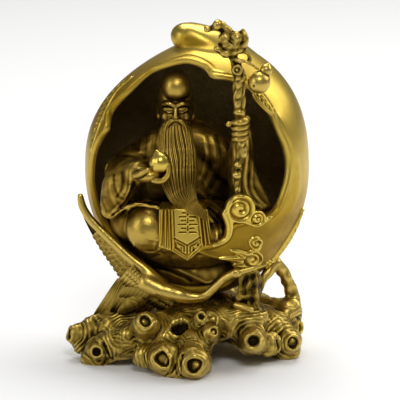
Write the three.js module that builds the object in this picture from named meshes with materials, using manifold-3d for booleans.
// A brass table ornament: an old sage sits in a hollow peach, which rests on a stand of gnarled
// roots. A knotted staff with a gourd stands in the sage's fist, and a crane flies in front.
// Millimetres, +Z up. The front faces -Y, and the origin is on the ground under the middle.
import * as THREE from "three";
import { mergeVertices } from "three/addons/utils/BufferGeometryUtils.js";
import Module from "manifold-3d";

const wasm = await Module();
wasm.setup();
const { PI, sin, cos, abs, sqrt, floor, min } = Math;

// Peach shell
const peachHalfWidth = 70;
const peachHalfDepth = 57;
const peachFloor = 34; // underside, above the ground
const peachEquator = 115; // widest level
const peachCrown = 198; // top, under the bent tip
const wall = 3;
const rimWidth = 3; // the lip round the opening
const rimRise = 1.2;
const cloudRise = 2.4;
const grooveDepth = 1.8;
const leafRise = 1.2;

// Other pieces
const jointGap = 0.3; // left between pieces that touch
const figureHeight = 140; // seat to crown
const seatGap = 1; // the figure's seat above the shell's floor
const staffRadius = 4;
const staffTop = 217;
const standReach = 78; // half the stand's width
const standHeight = 34; // top of the root mass
const burlRadius = 10; // the largest burl
const featherThickness = 1.6;

const V = (x, y, z) => new THREE.Vector3(x, y, z);

// Solids

// A closed geometry as a solid. A form that was mapped inside out is turned back.
function solidOf(geometry) {
  const bare = geometry.index ? geometry.toNonIndexed() : geometry.clone();
  bare.deleteAttribute("normal");
  bare.deleteAttribute("uv");
  const merged = mergeVertices(bare, 1e-4);
  const make = (flip) => {
    const triVerts = [];
    for (let i = 0; i < merged.index.count; i += 3) {
      const [a, b, c] = [0, 1, 2].map((k) => merged.index.getX(i + k));
      if (a !== b && b !== c && a !== c) triVerts.push(a, flip ? c : b, flip ? b : c);
    }
    const mesh = { numProp: 3, vertProperties: merged.attributes.position.array };
    return new wasm.Manifold(new wasm.Mesh({ ...mesh, triVerts: new Uint32Array(triVerts) }));
  };
  const made = make(false);
  return made.volume() < 0 ? make(true) : made;
}

const union = (solids) => solids.reduce((all, next) => all.add(next));

// A sphere's grid carried to place(angle round, share along), with its seam and poles closed.
function mapped(around, along, place) {
  const geometry = new THREE.SphereGeometry(1, around, along);
  const position = geometry.attributes.position;
  for (let i = 0; i < position.count; i++) {
    const row = floor(i / (around + 1));
    const atPole = row === 0 || row === along;
    const column = atPole ? 0 : (i % (around + 1)) % around;
    const point = place((column / around) * 2 * PI, row / along);
    position.setXYZ(i, point.x, point.y, point.z);
  }
  return solidOf(geometry);
}

function ball(centre, radii, around = 8, along = 6) {
  const place = (angle, share) => {
    const level = sin(share * PI);
    const out = V(level * cos(angle), level * sin(angle), cos(share * PI));
    return out.multiply(V(...radii)).add(centre);
  };
  return mapped(around, along, place);
}

function between(values, share) {
  const at = min(share * (values.length - 1), values.length - 1 - 1e-9);
  const from = floor(at);
  return THREE.MathUtils.lerp(values[from], values[from + 1], at - from);
}

// A round-ended bar along a smooth line, with a radius at each point of the line. flatten squeezes
// its section along facing, and ripple swells or grooves it.
function bar(line, radii, options = {}) {
  const { facing = V(0, -1, 0), flatten = 1, around = 8, along = 4 } = options;
  const { ripple = () => 1, grow = 0, cap = 1 } = options;
  const curve = new THREE.CatmullRomCurve3(line);
  const rows = along + 2 * cap;
  return mapped(around, rows, (angle, share) => {
    const row = Math.round(share * rows);
    const t = THREE.MathUtils.clamp((row - cap) / along, 0, 1);
    const fromEnd = min(row, rows - row, cap) / cap;
    const end = row < cap ? -1 : row > along + cap ? 1 : 0;
    const radius = between(radii, t) + grow;
    const swell = radius * sin((fromEnd * PI) / 2) * ripple(angle, t);
    const tangent = curve.getTangent(t);
    const across = V().crossVectors(tangent, facing).normalize();
    const outward = V().crossVectors(across, tangent);
    return curve
      .getPoint(t)
      .addScaledVector(tangent, end * radius * flatten * cos((fromEnd * PI) / 2))
      .addScaledVector(across, swell * cos(angle))
      .addScaledVector(outward, swell * flatten * sin(angle));
  });
}

// A plan in X and Z as a slab from yFront to yBack.
function slab(outline, yFront, yBack) {
  const shape = new THREE.Shape(outline.map(([x, z]) => new THREE.Vector2(x, z)));
  const options = { depth: yBack - yFront, bevelEnabled: false, curveSegments: 1 };
  const geometry = new THREE.ExtrudeGeometry(shape, options);
  return solidOf(geometry.rotateX(PI / 2).translate(0, yBack, 0));
}

function smoothLoop(points, count) {
  const curve = new THREE.CatmullRomCurve3(points.map(([x, z]) => V(x, z, 0)), true);
  return curve.getPoints(count).slice(0, count).map((p) => [p.x, p.y]);
}

// A loop moved outwards by distance.
function widened(loop, distance) {
  const turn = Math.sign(THREE.ShapeUtils.area(loop.map(([x, y]) => ({ x, y }))));
  return loop.map(([x, z], i) => {
    const [ax, az] = loop[(i + loop.length - 1) % loop.length];
    const [bx, bz] = loop[(i + 1) % loop.length];
    const length = Math.hypot(bx - ax, bz - az);
    const push = (turn * distance) / length;
    return [x + (bz - az) * push, z - (bx - ax) * push];
  });
}

// Peach

// Half the peach's width at a level, on its left (-1) or right (1), grown outwards by grow.
function peachWidth(z, side, grow = 0) {
  const upper = z > peachEquator;
  const reach = (upper ? peachCrown - peachEquator : peachEquator - peachFloor) + grow;
  const share = min(abs(z - peachEquator) / reach, 1);
  if (!upper) return (peachHalfWidth + grow) * sqrt(1 - share ** 2);
  const [bend, fullness] = side < 0 ? [2.5, 1.11] : [2.45, 2];
  return (peachHalfWidth + grow) * (1 - share ** bend) ** (1 / fullness);
}

function peachDepth(z, grow = 0) {
  const mean = (peachWidth(z, -1, grow) + peachWidth(z, 1, grow)) / 2;
  return (mean * (peachHalfDepth + grow)) / (peachHalfWidth + grow);
}

// The Y of the peach's front at a place seen from the front.
function peachFront(x, z) {
  const share = min(abs(x) / peachWidth(z, x < 0 ? -1 : 1), 1);
  return -peachDepth(z) * sqrt(1 - share ** 2);
}

function peach(grow) {
  return mapped(24, 14, (angle, share) => {
    const level = cos(share * PI);
    const reach = (level > 0 ? peachCrown - peachEquator : peachEquator - peachFloor) + grow;
    const z = peachEquator + reach * level;
    const width = peachWidth(z, cos(angle), grow);
    return V(width * cos(angle), peachDepth(z, grow) * sin(angle), z);
  });
}

// The peach's measures as drawn, so that its opening and reliefs keep their place as it changes.
const peachScale = peachHalfWidth / 70;
const onX = (x) => x * peachScale;
const onZ = (z) => {
  const upper = z > 115;
  const reach = upper ? (peachCrown - peachEquator) / 83 : (peachEquator - peachFloor) / 81;
  return peachEquator + (z - 115) * reach;
};
const onFront = ([x, z]) => [onX(x), onZ(z)];

const openingPoints = [
  [-8, 188.4], [5, 185.6], [9, 181], [22, 178.7], [31, 174.5], [38, 169], [44.7, 159.6],
  [51, 145], [55, 135], [56.7, 125], [55.4, 115.8], [51, 106.5], [45.5, 98], [38, 94],
  [28, 93], [20.5, 90], [17.5, 82], [10.7, 78.7], [3, 77.3], [-0.6, 74], [6.9, 69.8],
  [16, 66.8], [22, 63], [24.5, 55], [18, 46], [4, 42], [-12, 42.5], [-24, 47], [-36, 56.6],
  [-48.5, 70], [-56.1, 82.2], [-61.7, 91.7], [-65.5, 105.3], [-66.2, 117], [-64.9, 127.8],
  [-61.1, 137.9], [-55.6, 146.5], [-54.5, 155], [-49.8, 161.6], [-44, 167.3],
  [-35.9, 175.4], [-26.5, 182.2],
].map(onFront);
const openingLoop = smoothLoop(openingPoints, 42);
const ahead = -1.5 * peachHalfDepth; // in front of everything

const opening = (grow) => slab(widened(openingLoop, grow), ahead, 0);

// What stands proud of the peach's outside within a slab, down into its wall.
function relief(plan, rise) {
  return peach(rise).subtract(peach(-wall / 2)).intersect(plan);
}

const rimPlan = (grow) => opening(rimWidth + grow).subtract(opening(-grow));

// Cloud scrolls: centre X and Z, radius, and the groove's first angle and turn in degrees
const scrolls = [
  { x: 27, z: 101.2, radius: 9.8, from: -90, turn: 400 },
  { x: 38.4, z: 94.6, radius: 5.6, from: 130, turn: -300 },
  { x: 38.4, z: 76.5, radius: 4.8, from: 150, turn: -260 },
  { x: 37.2, z: 65.2, radius: 7.2, from: -60, turn: 290 },
  { x: 47, z: 59, radius: 4.2, from: 150, turn: -250 },
];
const cloudTails = [
  [[18, 99], [20, 90], [18, 82], [10, 77.5]],
  [[30, 68], [25, 72], [18, 70.5]],
  [[27, 96], [36, 91], [46, 94]],
];

function disc({ x, z, radius }, grow) {
  const length = peachHalfDepth;
  const reach = radius * peachScale + grow;
  const geometry = new THREE.CylinderGeometry(reach, reach, length, 12);
  return solidOf(geometry.translate(onX(x), -length / 2 - onX(6), onZ(z)));
}

function cloudPlan(grow) {
  const tail = (line) => {
    const curve = new THREE.CatmullRomCurve3(line.map(([x, z]) => V(onX(x), 0, onZ(z))));
    const side = (sign) =>
      [0, 0.33, 0.67, 1].map((t) => {
        const [p, along] = [curve.getPoint(t), curve.getTangent(t)];
        const half = sign * ((2.6 - 1.4 * t) * peachScale + grow);
        return [p.x + along.z * half, p.z - along.x * half];
      });
    return slab([...side(1), ...side(-1).reverse()], ahead, -onX(8));
  };
  return union([...scrolls.map((s) => disc(s, grow)), ...cloudTails.map(tail)]);
}

function spiralPlan({ x, z, radius, from, turn }) {
  const steps = 8;
  const edge = (half) =>
    Array.from({ length: steps + 1 }, (_, i) => {
      const angle = THREE.MathUtils.degToRad(from + (turn * i) / steps);
      const reach = radius * peachScale * (0.2 + 0.5 * (i / steps) ** 0.8) + half;
      return [onX(x) + reach * cos(angle), onZ(z) + reach * sin(angle)];
    });
  const half = radius * peachScale * 0.08;
  return slab([...edge(half), ...edge(-half).reverse()], ahead, -onX(4));
}

// Leaves on the flanks: midrib from stalk to tip in X and Z, and half the blade's width
const frontLeaves = [
  { line: [[36, 172], [43, 166], [50, 157]], half: 4.2 },
  { line: [[52, 156], [62, 138], [65.5, 112], [60, 84]], half: 5 },
  { line: [[68, 96], [62, 76], [50, 61]], half: 5 },
  { line: [[-38, 176], [-56, 158], [-66, 134], [-69, 112]], half: 5 },
];
const backLeaves = [
  { line: [[-2, 62], [-20, 82], [-36, 116]], half: 10 },
  { line: [[4, 62], [24, 86], [38, 124]], half: 9 },
];

function leafPlan({ line, half }, grow, yFront, yBack) {
  const curve = new THREE.CatmullRomCurve3(line.map(([x, z]) => V(onX(x), 0, onZ(z))));
  const side = (sign) =>
    [0.08, 0.3, 0.6, 0.88].map((t) => {
      const [p, along] = [curve.getPoint(t), curve.getTangent(t)];
      const reach = sign * (half * peachScale * sin(PI * t ** 0.8) ** 0.8 + grow);
      return [p.x + along.z * reach, p.z - along.x * reach];
    });
  const ends = [curve.getPoint(0), curve.getPoint(1)].map((p) => [p.x, p.z]);
  return slab([ends[0], ...side(1), ends[1], ...side(-1).reverse()], yFront, yBack);
}

function leafPlans(grow) {
  const front = frontLeaves.map((leaf) => leafPlan(leaf, grow, ahead, 0));
  return union([...front, ...backLeaves.map((leaf) => leafPlan(leaf, grow, 0, -ahead))]);
}

// The peach's tip, bent over to the left.
function peachTip(grow = 0) {
  const line = [[26, 2, 180], [8, 0, 191.5], [-4, -1, 197.5], [-8.5, -1, 199.5]];
  const points = line.map(([x, y, z]) => V(onX(x), onX(y), onZ(z)));
  const radii = [14, 13, 10.5, 7.5].map(onX);
  return bar(points, radii, { flatten: 1.15, around: 10, along: 3, cap: 2, grow });
}

function buildShell() {
  const hollow = peach(0).add(peachTip()).subtract(peach(-wall)).subtract(opening(0));
  const raised = [
    relief(rimPlan(0), rimRise),
    relief(cloudPlan(0), cloudRise),
    relief(leafPlans(0).subtract(opening(0)), leafRise),
  ];
  const grooves = union(scrolls.map(spiralPlan));
  const grooved = peach(cloudRise * 2).subtract(peach(cloudRise - grooveDepth)).intersect(grooves);
  return union([hollow, ...raised]).subtract(grooved);
}

// Where the shell is, and a gap round it: for pieces outside it, and for those inside.
const outsideShell = union([
  peach(jointGap),
  relief(rimPlan(jointGap), rimRise + jointGap),
  relief(cloudPlan(jointGap), cloudRise + jointGap),
  relief(leafPlans(jointGap), leafRise + jointGap),
]);
const insideShell = union([
  peach(40).subtract(peach(-wall - jointGap)).subtract(opening(-jointGap)),
  relief(cloudPlan(jointGap), cloudRise + jointGap),
]);
const aroundShell = insideShell.intersect(outsideShell);

// Staff

// The staff stands just behind the largest scroll, whose back it touches. Its head, from a share of
// 0.62 up, keeps its size under the staff's top, and the shaft below takes up the rest.
const staffX = onX(26);
const staffY = peachFront(onX(27), onZ(101.2)) + wall + jointGap + staffRadius;
const staffFoot = onZ(90);
const knot = staffRadius / 4;
const headFoot = staffTop - 0.38 * 127 * knot;
const staffAt = (x, y, share) => {
  const inShaft = staffFoot + (share / 0.62) * (headFoot - staffFoot);
  const inHead = staffTop - (1 - share) * 127 * knot;
  return V(staffX + x * knot, staffY + y * knot, share < 0.62 ? inShaft : inHead);
};

function buildStaff(grow = 0) {
  const thick = (share) => share * staffRadius;
  const stick = (line, radii, options) =>
    bar(line.map((p) => staffAt(...p)), radii.map(thick), { around: 7, along: 2, ...options, grow });
  const swollen = (radii) => radii.map((r) => r * knot + grow);
  const knob = (x, y, share, radii) => ball(staffAt(x, y, share), swollen(radii), 7, 4);
  const shaft = [[-0.5, 0, 0], [0.6, 0, 0.16], [0, 0, 0.32], [1, 0, 0.48], [0, 0, 0.62], [0, 0, 0.76]];
  return union([
    stick(shaft, [0.8, 0.85, 0.82, 0.86, 0.95, 1], { along: 5 }),
    knob(-1, -1, 0.18, [3.8, 4, 3.4]),
    knob(-1, -1.2, 0.25, [3.6, 3.8, 3]),
    knob(1.4, 0, 0.34, [3.4, 3.4, 3.8]),
    knob(0, -1.5, 0.78, [5, 4.6, 5.6]),
    stick([[0, 0, 0.76], [-2.6, 0, 0.83], [-6, 0, 0.88]], [1, 0.95, 1.3]),
    knob(-4.5, 0, 0.915, [8.6, 6, 5.4]),
    stick([[-13, -1, 0.86], [-5, -2, 0.855], [2, -1, 0.865]], [0.8, 1, 0.9]),
    knob(1.5, 0, 0.93, [4.4, 4.2, 5.2]),
    knob(-9, -0.5, 0.965, [4.2, 3.6, 3.4]),
    knob(-14.6, -0.5, 0.99, [4, 3.8, 4]),
    knob(-19.4, 0, 0.97, [2.7, 2.7, 2.9]),
    stick([[-1, 0, 0.82], [7, -1, 0.8], [12, -1, 0.765]], [0.45, 0.5, 0.45], { around: 5 }),
    ball(staffAt(13.4, -1.4, 0.725), swollen([7.5, 7, 7.3])),
    knob(18, -0.4, 0.79, [4, 3.8, 4]),
  ]);
}

// Figure

// The figure's own frame has its seat at the origin, and its forms are in 140ths of its height.
const unit = figureHeight / 140;
const seat = peachFloor + wall + seatGap;
const bodyAt = (x, y, z) => V(x * unit, y * unit, seat + z * unit);
const form = (x, y, z, radii, around, along) =>
  ball(bodyAt(x, y, z), radii.map((r) => r * unit), around, along);
const roll = (line, radii, options) =>
  bar(line.map((p) => bodyAt(...p)), radii.map((r) => r * unit), options);

function buildHead() {
  const thin = { around: 5, along: 2 };
  const brow = roll([[-22, -15, 121], [-14, -19.5, 120], [-6, -15, 121]], [1.6, 1.7, 1.6], thin);
  const ear = (x) => roll([[x, -5, 122], [x * 1.03, -6, 110]], [2.3, 2], { around: 6, along: 1 });
  const moustache = (side) => {
    const line = [[-14, -20, 109.5], [-14 + side * 5, -19.5, 106.5], [-14 + side * 7, -19, 95]];
    return roll(line, [1.6, 1.6, 1], thin);
  };
  return [
    form(-14, -7, 121, [10.6, 11.5, 19], 10, 7),
    form(-14, -12, 130.5, [8.9, 9, 9.4]),
    form(-14, -10, 112, [9.4, 10, 12]),
    form(-14, -20, 114.5, [1.9, 2.8, 3.2], 6, 5),
    brow,
    ear(-25),
    ear(-3.2),
    moustache(-1),
    moustache(1),
    roll([[-13, -1, 102], [-12, 2, 90]], [9, 10], { along: 1 }),
  ];
}

function buildBeard() {
  const line = [
    [-14, -16, 107.5], [-12, -23, 93], [-10, -29, 78], [-8, -37, 67], [-2, -46, 60], [2, -51, 56],
  ];
  const strands = (angle) => 1 + 0.06 * cos(angle * 5);
  const options = { flatten: 0.5, around: 15, along: 6, ripple: strands };
  return roll(line, [8.5, 11, 11, 8, 4.5, 1.4], options);
}

function buildRobe() {
  const folds = (count, depth) => (angle) => 1 + depth * cos(angle * count);
  const pleated = { around: 12, along: 3, ripple: folds(4, 0.09) };
  const shoulders = [[-37, 0, 82], [-24, -1, 92], [-11, 1, 97], [6, -1, 92], [19, 0, 82]];
  return [
    form(-8, 6, 70, [30, 17, 38], 12, 8),
    roll(shoulders, [10, 10.5, 9, 10.5, 10], { along: 3 }),
    form(-4, -8, 38, [43, 32, 22], 12, 7),
    form(-2, -2, 14, [32, 20, 18], 10, 5),
    form(-34, -35, 51, [13.5, 12.4, 12.5], 12, 9),
    form(26, -30, 50, [13, 11.5, 12]),
    roll([[-34, -34, 43], [-6, -41, 40], [24, -32, 42]], [9, 8, 9], { along: 3 }),
    roll([[-36, 0, 84], [-47, -14, 78], [-38, -34, 82]], [10, 11.5, 8.5], pleated),
    roll([[-39, -28, 84], [-47, -32, 72], [-53, -34, 56]], [8, 10, 4], { ...pleated, flatten: 0.8 }),
    roll([[14, 0, 84], [25, -12, 80], [27, -26, 92], [28, -37, 107]], [10, 10, 8, 6], pleated),
    roll([[27, -33, 103], [27, -30, 88], [28, -30, 74], [39, -31, 60]], [6, 8, 8, 5], pleated),
  ];
}

function buildHands() {
  const finger = (x, y, z) =>
    roll([[x, y, z], [x + 3, y - 2, z + 1], [x + 4, y, z + 6]], [2, 1.9, 1.5], { around: 5, along: 1 });
  const fist = V(staffX + 1.5 * unit, staffY + unit, seat + 114.2 * unit);
  return [
    form(-29, -44, 83, [9, 6, 5]),
    finger(-24, -47, 81),
    finger(-23, -44, 81),
    roll([[-36, -46, 85], [-32, -49, 91]], [2.2, 1.6], { around: 5, along: 1 }),
    form(-24, -45, 91.5, [6.4, 6, 6.8]),
    roll([[-25, -45.5, 96], [-26, -46, 100]], [3, 0.8], { around: 6, along: 1 }),
    roll([[28, -37, 107], [28, -41, 112]], [6, 5.5], { along: 1 }),
    ball(fist, [staffRadius + 3.4 * unit, staffRadius + 3 * unit, 7 * unit]),
  ];
}

// The apron hangs over the crossed legs: a five-sided panel with a raised border.
function buildApron() {
  const lean = THREE.MathUtils.degToRad(-9);
  const corners = [[-21.4, 66], [1.3, 66], [5, 55], [8.8, 40], [-5.8, 29.5], [-23.3, 38.5], [-23, 52]];
  const panel = (loop, yFront, yBack) => slab(loop, yFront * unit, yBack * unit);
  const outline = corners.map(([x, z]) => [x * unit, z * unit]);
  const inside = (by) => widened(outline, -by * unit);
  const bands = [
    panel(outline, -50, -38),
    panel(outline, -51, -40).subtract(panel(inside(1.6), -53, -36)),
    panel(inside(3), -51, -40).subtract(panel(inside(4.4), -53, -36)),
  ];
  const upright = union(bands);
  const hinge = [0, 46 * unit, -40 * unit];
  const drop = [0, -46 * unit, 40 * unit + seat];
  return upright.translate(hinge).rotate([THREE.MathUtils.radToDeg(lean), 0, 0]).translate(drop);
}

function buildFigure() {
  const whole = union([...buildHead(), ...buildRobe(), ...buildHands(), buildApron(), buildBeard()]);
  return whole.subtract(insideShell).subtract(buildStaff(jointGap)).subtract(buildCrane(jointGap));
}

// Crane

// The crane's places are in the peach's own measures, so that it keeps to the shell's flank.
const craneAt = (x, y, z) => V(onX(x), (y * peachHalfDepth) / 57, onZ(z));
const craneBar = (line, radii, options) =>
  bar(line.map((p) => craneAt(...p)), radii.map(onX), options);

// A wing or tail is a plate with a row of feather tips along its edge, from its root to its tip.
const wing = {
  edge: [[-18, 45], [-36, 58], [-48, 70], [-59, 83], [-68, 95], [-75, 105.5]],
  tips: [[-30, 41], [-46, 52], [-57, 65], [-65, 76], [-71.5, 87], [-76, 98]],
  feathers: 11,
  depthAt: (x) => -36 - (x + 20) * 0.25,
};
const coverts = {
  edge: wing.edge,
  tips: [[-26, 44], [-42, 56], [-53, 68.5], [-62, 80.5], [-70, 92.5], [-75, 103.5]],
  feathers: 8,
  depthAt: (x) => -37.4 - (x + 20) * 0.25,
};
const tail = {
  edge: [[-30, 52], [-36, 55], [-42, 55], [-46, 50]],
  tips: [[-45, 27], [-52, 23], [-58, 20.5], [-63, 21]],
  feathers: 6,
  depthAt: (x) => -33 - (x + 30) * 0.4,
};

function plate({ edge, tips, feathers, depthAt }, thickness, grow) {
  const curve = (points) => new THREE.CatmullRomCurve3(points.map(([x, z]) => V(x, 0, z)));
  const [near, far] = [curve(edge), curve(tips)];
  const notch = grow > 0 ? 1 : 0.8; // the gap round a plate runs straight past its tips
  const serrated = [];
  for (let i = 0; i < feathers; i++) {
    const valley = near.getPoint(i / feathers).lerp(far.getPoint(i / feathers), notch);
    serrated.push(valley, far.getPoint((i + 0.6) / feathers));
  }
  const back = [0, 0.2, 0.4, 0.6, 0.8, 1].map((t) => near.getPoint(t)).reverse();
  const outline = [...serrated, ...back].map((p) => [p.x, p.z]);
  const [left, right] = [min(...outline.map(([x]) => x)), Math.max(...outline.map(([x]) => x))];
  const slope = (depthAt(right) - depthAt(left)) / (right - left);
  const shape = new THREE.Shape(widened(outline, grow).map(([x, z]) => new THREE.Vector2(x, z)));
  const options = { depth: thickness + 2 * grow, bevelEnabled: false };
  const geometry = new THREE.ExtrudeGeometry(shape, options).rotateX(PI / 2);
  const position = geometry.attributes.position;
  for (let i = 0; i < position.count; i++) {
    const x = position.getX(i);
    const place = craneAt(x, depthAt(0) + slope * x, position.getZ(i));
    position.setXYZ(i, place.x, place.y + position.getY(i) + thickness + grow, place.z);
  }
  return solidOf(geometry);
}

function buildCrane(grow = 0) {
  const trunk = [[-40, -33, 50], [-28, -36, 46], [-14, -38, 41.5], [-2, -39, 37]];
  const neck = [
    [-4, -39, 37.5], [3, -40, 36], [10, -42, 40], [15, -44, 47.5], [19, -46, 54.5], [23, -46.5, 58.5],
  ];
  const beak = [[27, -46.5, 60.5], [35, -45.5, 62], [43, -43, 63.5]];
  return union([
    craneBar(trunk, [4, 7, 7, 4], { grow, along: 3 }),
    craneBar(neck, [3.6, 3, 2.7, 2.5, 2.6, 3], { grow, along: 6, around: 6 }),
    ball(craneAt(24, -46.5, 59), [4.2, 3, 3.2].map((r) => onX(r) + grow), 7, 5),
    craneBar(beak, [1.9, 1.4, 0.7], { grow, around: 5, along: 1 }),
    craneBar(
      wing.edge.map(([x, z]) => [x, wing.depthAt(x), z]),
      [5, 3.6, 2.9, 2.4, 2, 1.3],
      { grow, along: 5, around: 5 },
    ),
    plate(wing, featherThickness, grow),
    plate(coverts, featherThickness, grow),
    plate(tail, featherThickness * 1.5, grow),
    craneBar([[-34, -35, 50], [-42, -30, 42], [-49, -26, 33]], [4.5, 3.5, 2], { grow, along: 2, around: 6 }),
  ]);
}

// Stand

// The stand's places are drawn on a reach of 78 and a height of 34.
const standScale = standReach / 78;
const standRise = standHeight / 34;
const standAt = (x, y, z) => V(x * standScale, y * standScale, z * standRise);
const root = (line, radii, options) =>
  bar(line.map((p) => standAt(...p)), radii.map((r) => r * standScale), { around: 7, along: 2, ...options });
const lump = ([x, y, z], [a, b, c], around, along) =>
  ball(standAt(x, y, z), [a * standScale, b * standScale, c * standRise], around, along);

// A burl: a swollen stub with a crater in its end.
function burl([x, y, z], [ax, ay, az], share) {
  const radius = share * burlRadius;
  const profile = [[0, 0.35], [0.36, 0.45], [0.52, 1.05], [0.84, 0.75], [1, 0], [0, -1.6]];
  const points = profile.map(([r, h]) => new THREE.Vector2(r * radius, h * radius * 0.7));
  const geometry = new THREE.LatheGeometry(points, 7);
  const turn = new THREE.Quaternion().setFromUnitVectors(V(0, 1, 0), V(ax, ay, az).normalize());
  return solidOf(geometry.applyQuaternion(turn).translate(...standAt(x, y, z).toArray()));
}

const burls = [
  { at: [-31.5, -57, 29], axis: [-0.1, -1, 0.75], share: 0.85 },
  { at: [2.5, -54, 32], axis: [0.1, -1, 0.9], share: 0.5 },
  { at: [9, -61, 25], axis: [0.3, -1, 0.5], share: 0.6 },
  { at: [-20.5, -70, 11], axis: [-0.2, -1, 0.2], share: 1.05 },
  { at: [-3.5, -78, 9.5], axis: [0.1, -1, 0.15], share: 1.1 },
  { at: [35, -55, 17], axis: [0.05, -1, 0.3], share: 0.85 },
  { at: [59, -34, 9.5], axis: [0.3, -1, 0.15], share: 0.9 },
  { at: [-62, -50, 6.5], axis: [-0.1, -1, 0.1], share: 0.75 },
  { at: [-74.8, -30, 15], axis: [-1, -0.4, 0.2], share: 0.8 },
  { at: [61.5, -10, 13], axis: [1, -0.3, 0.2], share: 0.75 },
  { at: [-37, 52, 11], axis: [-0.4, 1, 0.2], share: 1 },
  { at: [40, 50, 11], axis: [0.4, 1, 0.2], share: 1 },
  { at: [2, 44, 24], axis: [0, 1, 0.8], share: 0.8 },
];

const roots = [
  { line: [[0, -22, 22], [-14, -46, 20], [-20, -60, 12]], radii: [16, 13, 11] },
  { line: [[0, -34, 22], [-3, -58, 15], [-4, -70, 10]], radii: [14, 12, 10] },
  { line: [[-14, -36, 24], [-27, -50, 22]], radii: [12, 10] },
  { line: [[-20, -34, 22], [-44, -46, 15], [-61, -45, 9]], radii: [13, 11, 9.5] },
  { line: [[-26, -12, 21], [-52, -24, 18], [-71, -29, 14]], radii: [14, 12, 9.5] },
  { line: [[6, -34, 22], [20, -40, 26], [34, -38, 28]], radii: [13, 11, 10.5] },
  { line: [[18, -30, 22], [34, -45, 18]], radii: [12, 9] },
  { line: [[7, -46, 20], [9, -58, 23]], radii: [7, 5.5] },
  { line: [[-16, -50, 16], [-31, -61, 9]], radii: [11, 8] },
  { line: [[26, -12, 21], [46, -22, 17], [57.5, -27, 10]], radii: [14, 12, 10] },
  { line: [[36, 4, 20], [50, -6, 22], [57, -9, 24]], radii: [12, 10, 9] },
  { line: [[50, -4, 20], [60, -9, 14]], radii: [10, 9] },
  { line: [[-16, 22, 20], [-34, 44, 10]], radii: [15, 10.5] },
  { line: [[18, 22, 20], [36, 42, 10]], radii: [15, 10.5] },
  { line: [[0, 20, 22], [2, 38, 20]], radii: [14, 9] },
];

// Feet: centre X and Y, cut flat by the ground
const feet = [[-62, -45], [-12, -70], [58, -29], [-35, 47], [38, 45]];

function buildStand() {
  const branch = [[60, -2, 24], [60, 0, 33], [57, -2, 42], [51, -6, 50], [44, -10, 56]];
  const rootlet = (x, top) =>
    root([[x, -42, 34], [x, -42, 44], top], [2.2, 1.4, 1.5], { along: 2, around: 5 });
  const mass = lump([0, -6, 21], [40, 34, 15], 12, 6);
  const width = standReach * 4;
  const ground = new THREE.BoxGeometry(width, width, standHeight).translate(0, 0, -standHeight / 2);
  const arches = [
    lump([18, -62, -2], [13, 22, 15]),
    lump([-44, -58, -4], [12, 20, 11]),
    lump([0, -2, -4], [34, 28, 17]),
  ];
  const grown = union([
    mass,
    ...roots.map(({ line, radii }) => root(line, radii)),
    ...feet.map(([x, y]) => lump([x, y, 4], [10, 9, 8])),
    root(branch, [8, 4, 3.4, 3.2, 3], { facing: V(0, 1, 0), along: 5, around: 7 }),
    rootlet(26, [28, -39, 57]),
    rootlet(32, [32, -37, 58]),
    rootlet(37, [36, -34, 58]),
  ]);
  const cut = grown.subtract(union(arches));
  return union([cut, ...burls.map(({ at, axis, share }) => burl(at, axis, share))])
    .subtract(solidOf(ground))
    .subtract(outsideShell)
    .subtract(buildCrane(jointGap));
}

// Assembly

function meshOf(solid, name, material) {
  const { numProp, vertProperties, triVerts, numVert } = solid.getMesh();
  const positions = new Float32Array(numVert * 3);
  for (let i = 0; i < numVert; i++) {
    positions.set(vertProperties.subarray(i * numProp, i * numProp + 3), i * 3);
  }
  const geometry = new THREE.BufferGeometry();
  geometry.setAttribute("position", new THREE.BufferAttribute(positions, 3));
  geometry.setIndex(new THREE.BufferAttribute(triVerts, 1));
  geometry.computeVertexNormals();
  const mesh = new THREE.Mesh(geometry, material);
  mesh.name = name;
  return mesh;
}

const brass = (color, roughness) => new THREE.MeshStandardMaterial({ color, roughness, metalness: 1 });

const ornament = new THREE.Group();
ornament.add(
  meshOf(buildShell(), "peach_shell", brass(0xc9a23a, 0.3)),
  meshOf(buildFigure(), "sage_figure", brass(0x8a6a28, 0.42)),
  meshOf(buildStaff().subtract(aroundShell), "knotted_staff", brass(0xa8842e, 0.4)),
  meshOf(buildCrane().subtract(outsideShell), "crane", brass(0xa8842e, 0.4)),
  meshOf(buildStand(), "root_stand", brass(0xa07c2c, 0.45)),
);
const bounds = new THREE.Box3().setFromObject(ornament);
const middle = bounds.getCenter(V());
ornament.position.set(-middle.x, -middle.y, -bounds.min.z);

export default ornament;
